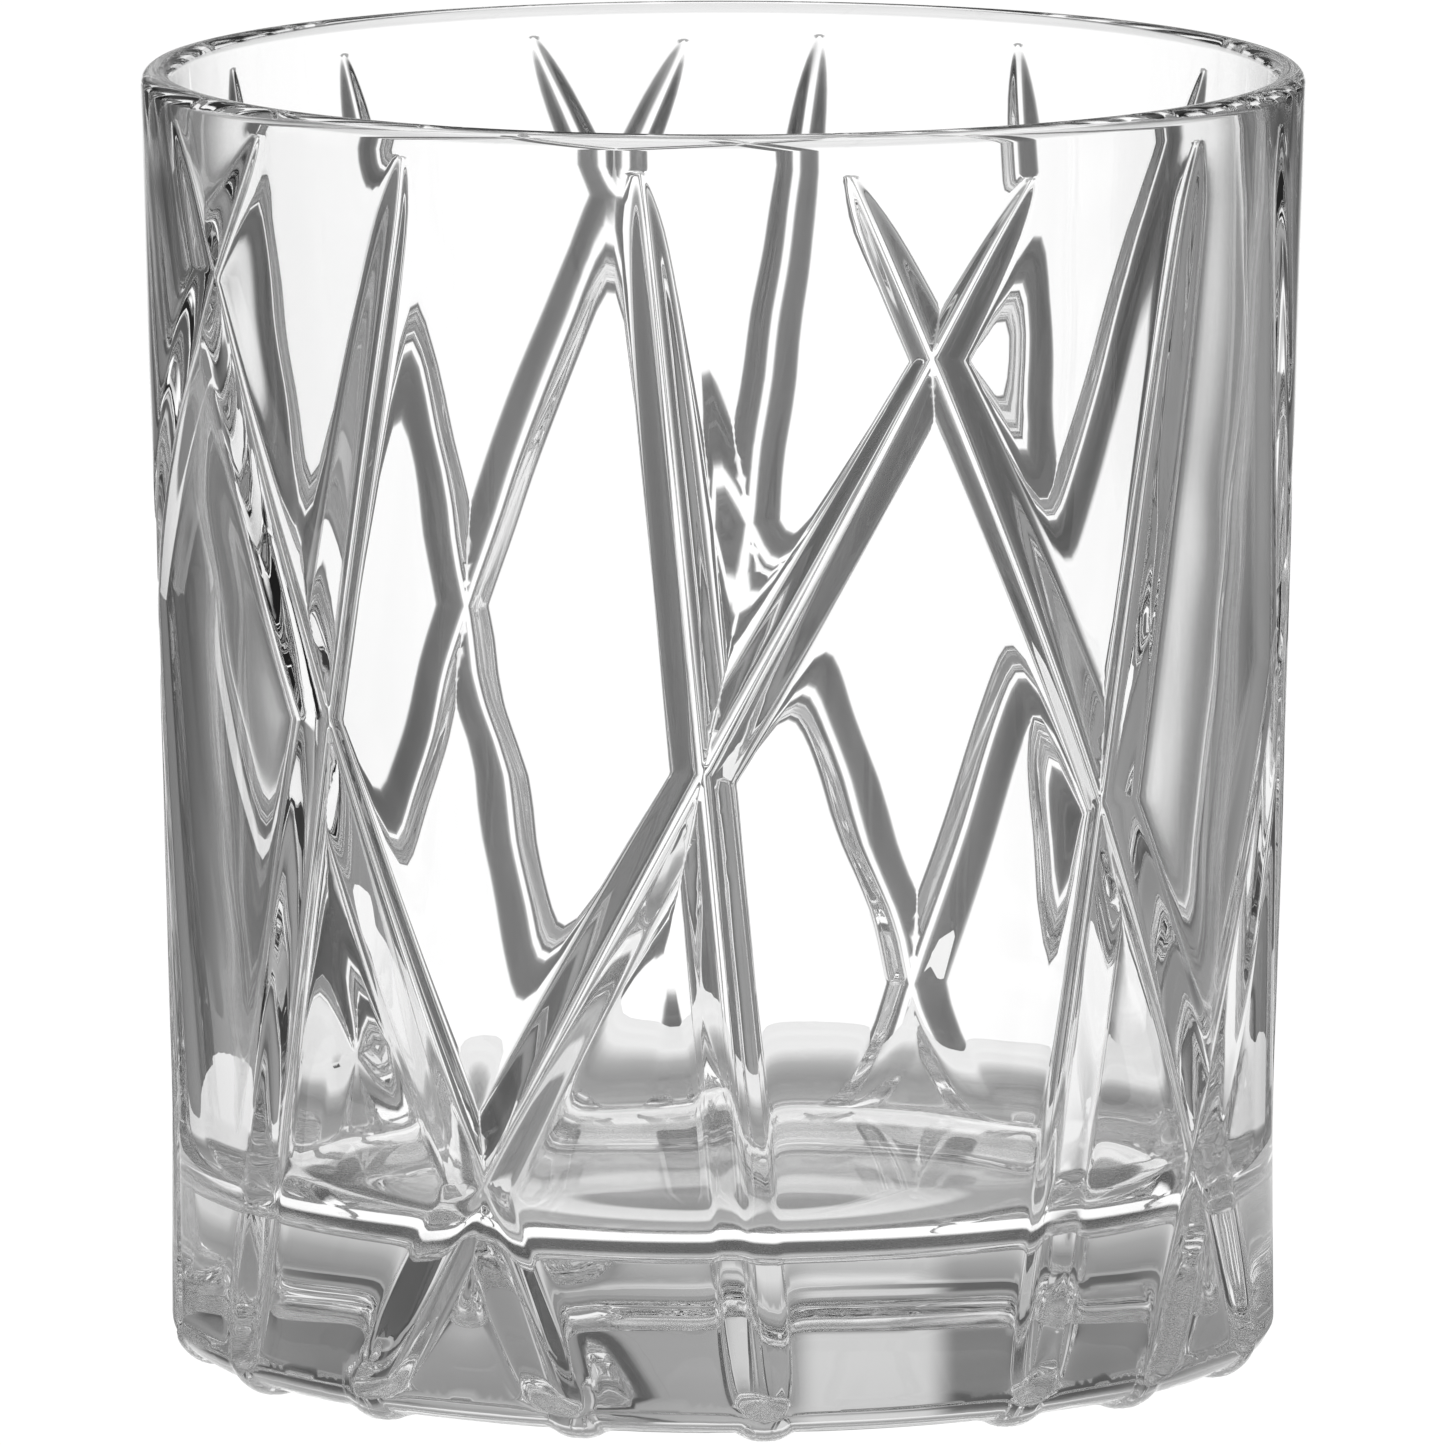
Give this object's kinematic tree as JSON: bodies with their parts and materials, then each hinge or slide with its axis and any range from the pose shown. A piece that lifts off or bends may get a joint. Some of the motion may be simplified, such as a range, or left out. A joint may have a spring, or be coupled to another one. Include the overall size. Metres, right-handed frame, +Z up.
{
  "type": "whiskey tumbler",
  "caption": "Old-fashioned tumbler of clear pressed crystal with a thick base and crossing V cuts round its wall.",
  "frame": {"origin": "centre of the resting plane under the foot", "axes": "+Z up along the axis of the glass, -Y towards the front of the cut pattern, +X to the right"},
  "size_m": [0.084, 0.084, 0.0938],
  "materials": {
    "crystal": "clear, fire polished"
  },
  "bodies": {
    "root": {"tumbler": "crystal"}
  },
  "joints": []
}
